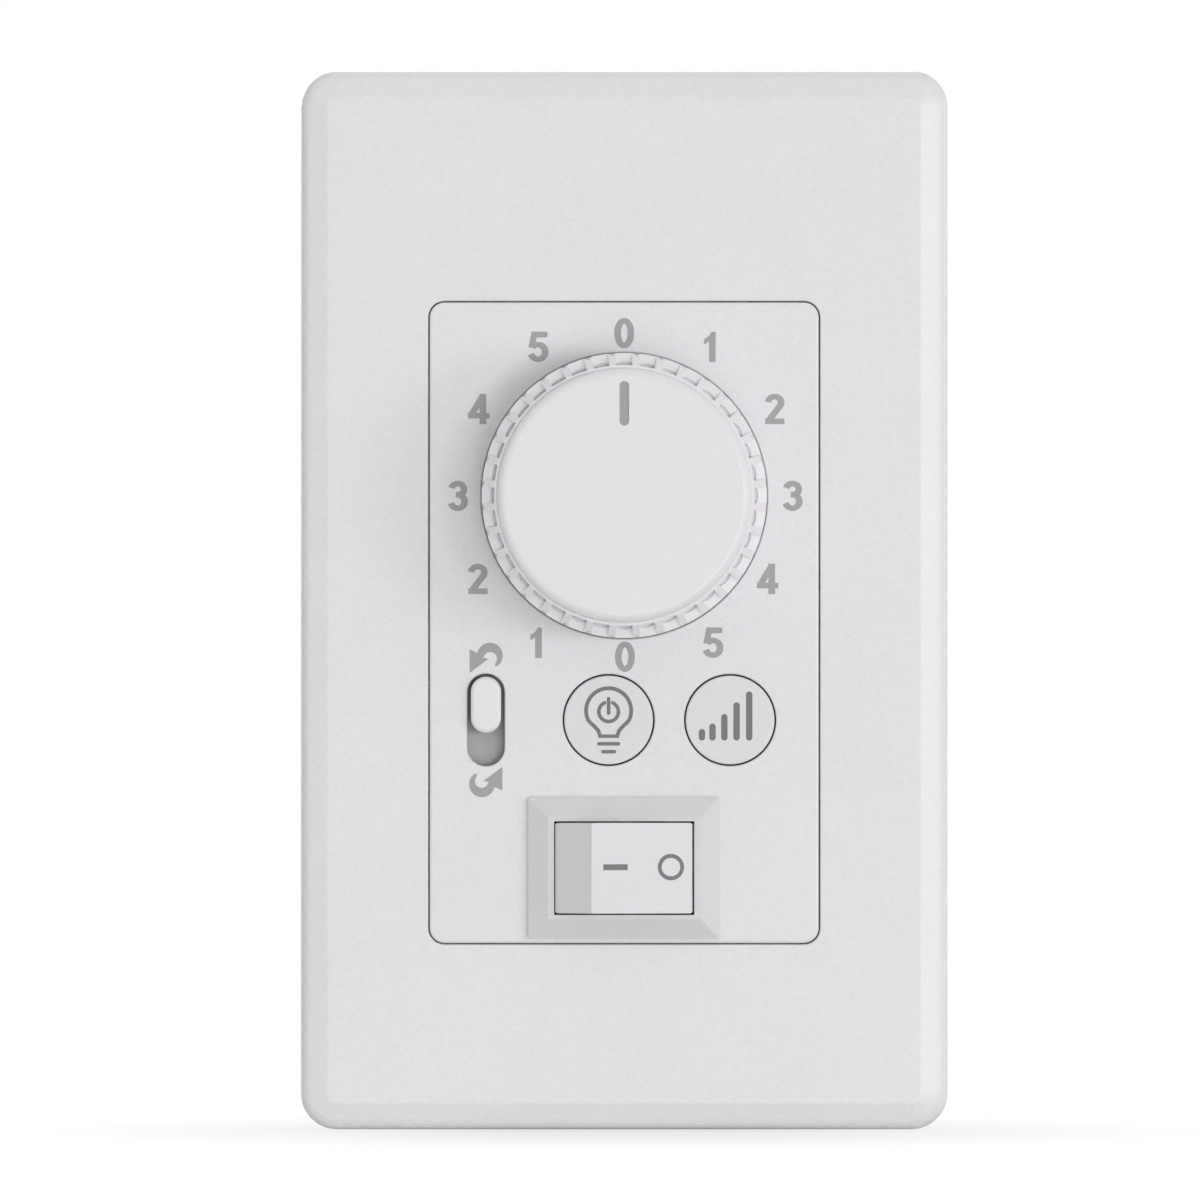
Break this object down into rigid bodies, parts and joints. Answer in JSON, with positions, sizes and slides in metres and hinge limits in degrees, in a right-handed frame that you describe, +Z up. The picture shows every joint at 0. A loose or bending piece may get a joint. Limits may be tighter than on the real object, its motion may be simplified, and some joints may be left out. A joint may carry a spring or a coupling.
{
  "type": "fan speed control switch",
  "caption": "Flush wall control for a ceiling fan and its light: a fluted speed knob, a direction slide, two push keys and an on-off rocker in a screwless wall plate with a rear housing.",
  "frame": {"origin": "on the wall surface, midway between the two box screws of the strap", "axes": "+X right and +Z up as seen from the front, +Y into the wall; the face looks along -Y"},
  "size_m": [0.0698, 0.0434, 0.1142],
  "materials": {
    "white_shell": "fine matte moulded texture",
    "white_control": "smooth satin",
    "white_switch": "smooth satin",
    "white_frame": "plain moulded",
    "grey_housing": "plain moulded",
    "grey_shutter": "plain moulded",
    "black_plastic": "plain moulded",
    "board_laminate": "solder mask",
    "film_case": "plain moulded",
    "lead_sleeve": "extruded sleeve",
    "choke_winding": "enamelled wire",
    "zinc_steel": "zinc plated",
    "brass_metal": "bare",
    "green_screw": "dyed plating"
  },
  "bodies": {
    "chassis": {"wall_plate": "white_shell", "snap_frame": "white_frame", "frame_screws": "zinc_steel", "mounting_strap": "zinc_steel", "ground_screw": "green_screw", "control_panel": "white_shell", "rear_housing": "grey_housing", "housing_screws": "zinc_steel", "main_board": "board_laminate", "board_screws": "zinc_steel", "terminal_plates": "brass_metal", "terminal_screws": "brass_metal", "rotary_cover": "zinc_steel", "rotary_washer": "zinc_steel", "rotary_nut": "zinc_steel", "rotary_contacts": "brass_metal", "rotary_case": "black_plastic", "slide_frame": "zinc_steel", "slide_pins": "brass_metal", "slide_base": "black_plastic", "light_switch_body": "black_plastic", "dimmer_switch_body": "black_plastic", "rocker_frame": "white_switch", "rocker_terminals": "brass_metal", "rocker_base": "black_plastic", "switch_leads": "lead_sleeve", "filter_capacitor": "film_case", "choke_coil": "choke_winding", "buffer_capacitor": "black_plastic", "triac": "black_plastic", "fuse": "black_plastic", "controller_chip": "black_plastic"},
    "dial": {"knob": "white_control", "rotary_shaft": "zinc_steel", "rotary_rotor": "black_plastic", "detent_ball": "zinc_steel", "detent_spring": "zinc_steel", "rotary_wiper": "brass_metal"},
    "direction_slider": {"slide_cap": "white_control", "slide_shutter": "grey_shutter", "slide_carriage": "black_plastic", "slide_contact": "brass_metal"},
    "light_button": {"light_key": "white_control", "light_switch_stem": "black_plastic"},
    "dimmer_button": {"dimmer_key": "white_control", "dimmer_switch_stem": "black_plastic"},
    "power_rocker": {"rocker": "white_switch", "rocker_plunger": "black_plastic", "rocker_spring": "zinc_steel"},
    "rocker_contact": {"contact_blade": "brass_metal"}
  },
  "joints": [
    {"name": "speed_turn", "type": "hinge", "parent": "chassis", "child": "dial", "pos_m": [0, 0, 0.01125], "axis": [0, 1, 0], "continuous": true},
    {"name": "direction_slide", "type": "slide", "parent": "chassis", "child": "direction_slider", "axis": [0, 0, 1], "range_m": [-0.00326, 0]},
    {"name": "light_press", "type": "slide", "parent": "chassis", "child": "light_button", "axis": [0, 1, 0], "range_m": [0, 0.0005], "stiffness_N_per_m": 400, "springref_m": -0.001},
    {"name": "dimmer_press", "type": "slide", "parent": "chassis", "child": "dimmer_button", "axis": [0, 1, 0], "range_m": [0, 0.0005], "stiffness_N_per_m": 400, "springref_m": -0.001},
    {"name": "power_tilt", "type": "hinge", "parent": "chassis", "child": "power_rocker", "pos_m": [0, -0.00421, -0.0289], "axis": [0, 0, -1], "range_deg": [0, 36]},
    {"name": "blade_tilt", "type": "hinge", "parent": "chassis", "child": "rocker_contact", "pos_m": [0, 0.00335, -0.0289], "axis": [0, 0, -1], "range_deg": [-20, 0]}
  ],
  "couplings": [
    {"joint": "blade_tilt", "follows": "power_tilt", "ratio": -0.5555}
  ]
}
